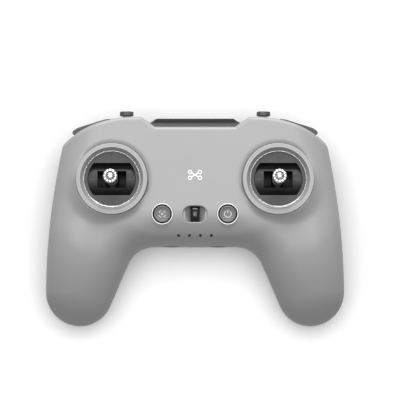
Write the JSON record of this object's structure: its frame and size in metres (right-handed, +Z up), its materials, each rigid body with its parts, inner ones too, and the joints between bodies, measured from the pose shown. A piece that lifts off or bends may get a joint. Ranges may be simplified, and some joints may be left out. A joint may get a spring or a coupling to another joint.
{
  "type": "radio transmitter controller",
  "caption": "Hand-held game-pad style radio transmitter with thumb-stick gimbals, face buttons, toggle levers, shoulder keys and a dial.",
  "frame": {"origin": "on the table under the middle of the housing's bounding box, with the controller lying on its back", "axes": "+Z up out of the face, +Y towards the shoulders and antenna edge, +X to the user's right hand"},
  "size_m": [0.1664, 0.1192, 0.062],
  "materials": {
    "shell_plastic": "fine-textured moulded plastic, light grey",
    "ring_plastic": "satin moulded plastic, light grey",
    "trim_metal": "bright turned",
    "plate_plastic": "dark grey satin",
    "drum_plastic": "dark grey satin",
    "frame_plastic": "black, moulded",
    "stick_metal": "machined, silver anodised",
    "magnet": "nickel plated",
    "toggle_plastic": "mid grey",
    "dark_plastic": "dark grey, fine texture",
    "part_plastic": "black, moulded",
    "button_plastic": "grey satin",
    "cup_plastic": "grey satin",
    "bar_plastic": "black",
    "lamp_plastic": "smoked clear",
    "circuit_board": "green solder mask",
    "plated_steel": "tin plated",
    "screw_steel": "blackened",
    "bearing_brass": "turned",
    "battery_wrap": "heat-shrink wrap"
  },
  "bodies": {
    "housing": {"front_shell": "shell_plastic", "rear_shell": "shell_plastic", "left_gimbal_ring": "ring_plastic", "right_gimbal_ring": "ring_plastic", "left_trim_ring": "trim_metal", "right_trim_ring": "trim_metal", "custom_button_ring": "trim_metal", "power_button_ring": "trim_metal", "left_gimbal_plate": "plate_plastic", "right_gimbal_plate": "plate_plastic", "left_gimbal_frame": "frame_plastic", "right_gimbal_frame": "frame_plastic", "stick_stores": "frame_plastic", "antenna_cover": "dark_plastic", "left_toggle_switch": "part_plastic", "right_toggle_switch": "part_plastic", "dial_encoder": "part_plastic", "tact_switches": "part_plastic", "beeper": "part_plastic", "battery_clamps": "part_plastic", "strap_cup": "cup_plastic", "strap_bar": "bar_plastic", "led_light_pipes": "lamp_plastic", "main_board": "circuit_board", "charge_board": "circuit_board", "hall_boards": "circuit_board", "antenna_boards": "circuit_board", "rf_shield": "plated_steel", "usb_port": "plated_steel", "centring_springs": "plated_steel", "bumper_pins": "plated_steel", "gimbal_screws": "screw_steel", "tension_screws": "screw_steel", "housing_screws": "screw_steel", "board_screws": "screw_steel", "gimbal_bearings": "bearing_brass", "battery": "battery_wrap"},
    "left_pitch": {"left_drum": "drum_plastic", "left_pitch_magnet": "magnet"},
    "left_roll": {"left_stick_holder": "drum_plastic", "left_roll_magnet": "magnet", "left_stick_shaft": "stick_metal", "left_stick_lock": "stick_metal", "left_stick_crown": "stick_metal"},
    "right_pitch": {"right_drum": "drum_plastic", "right_pitch_magnet": "magnet"},
    "right_roll": {"right_stick_holder": "drum_plastic", "right_roll_magnet": "magnet", "right_stick_shaft": "stick_metal", "right_stick_lock": "stick_metal", "right_stick_crown": "stick_metal"},
    "custom_key": {"custom_button": "button_plastic"},
    "power_key": {"power_button": "button_plastic"},
    "left_key": {"left_bumper": "dark_plastic"},
    "right_key": {"right_bumper": "dark_plastic"},
    "left_lever": {"left_toggle": "toggle_plastic"},
    "right_lever": {"right_toggle": "toggle_plastic"},
    "thumb_dial": {"dial": "dark_plastic"}
  },
  "joints": [
    {"name": "left_stick_pitch", "type": "hinge", "parent": "housing", "child": "left_pitch", "pos_m": [-0.046, 0.0217, 0.024], "axis": [1, 0, 0], "range_deg": [-23, 23]},
    {"name": "left_stick_roll", "type": "hinge", "parent": "left_pitch", "child": "left_roll", "pos_m": [-0.046, 0.0217, 0.024], "axis": [0, 1, 0], "range_deg": [-23, 23], "stiffness_Nm_per_rad": 0.03},
    {"name": "right_stick_pitch", "type": "hinge", "parent": "housing", "child": "right_pitch", "pos_m": [0.046, 0.0217, 0.024], "axis": [1, 0, 0], "range_deg": [-23, 23], "stiffness_Nm_per_rad": 0.03},
    {"name": "right_stick_roll", "type": "hinge", "parent": "right_pitch", "child": "right_roll", "pos_m": [0.046, 0.0217, 0.024], "axis": [0, 1, 0], "range_deg": [-23, 23], "stiffness_Nm_per_rad": 0.03},
    {"name": "custom_press", "type": "slide", "parent": "housing", "child": "custom_key", "axis": [0, -0.1374, 0.9905], "range_m": [-0.0007, 0], "stiffness_N_per_m": 250},
    {"name": "power_press", "type": "slide", "parent": "housing", "child": "power_key", "axis": [0, -0.1374, 0.9905], "range_m": [-0.0007, 0], "stiffness_N_per_m": 250},
    {"name": "left_bumper_press", "type": "hinge", "parent": "housing", "child": "left_key", "pos_m": [-0.049, 0.0486, 0.0295], "axis": [0, 0, 1], "range_deg": [0, 3], "stiffness_Nm_per_rad": 0.4},
    {"name": "right_bumper_press", "type": "hinge", "parent": "housing", "child": "right_key", "pos_m": [0.049, 0.0486, 0.0295], "axis": [0, 0, 1], "range_deg": [-3, 0], "stiffness_Nm_per_rad": 0.4},
    {"name": "left_toggle_flip", "type": "hinge", "parent": "housing", "child": "left_lever", "pos_m": [-0.0381, 0.047, 0.0287], "axis": [1, 0, 0], "range_deg": [-14, 14]},
    {"name": "right_toggle_flip", "type": "hinge", "parent": "housing", "child": "right_lever", "pos_m": [0.0381, 0.047, 0.0287], "axis": [1, 0, 0], "range_deg": [-14, 14]},
    {"name": "dial_turn", "type": "hinge", "parent": "housing", "child": "thumb_dial", "pos_m": [-0.055, 0.0456, 0.015], "axis": [0, 0, 1], "range_deg": [-30, 30], "stiffness_Nm_per_rad": 0.01}
  ]
}
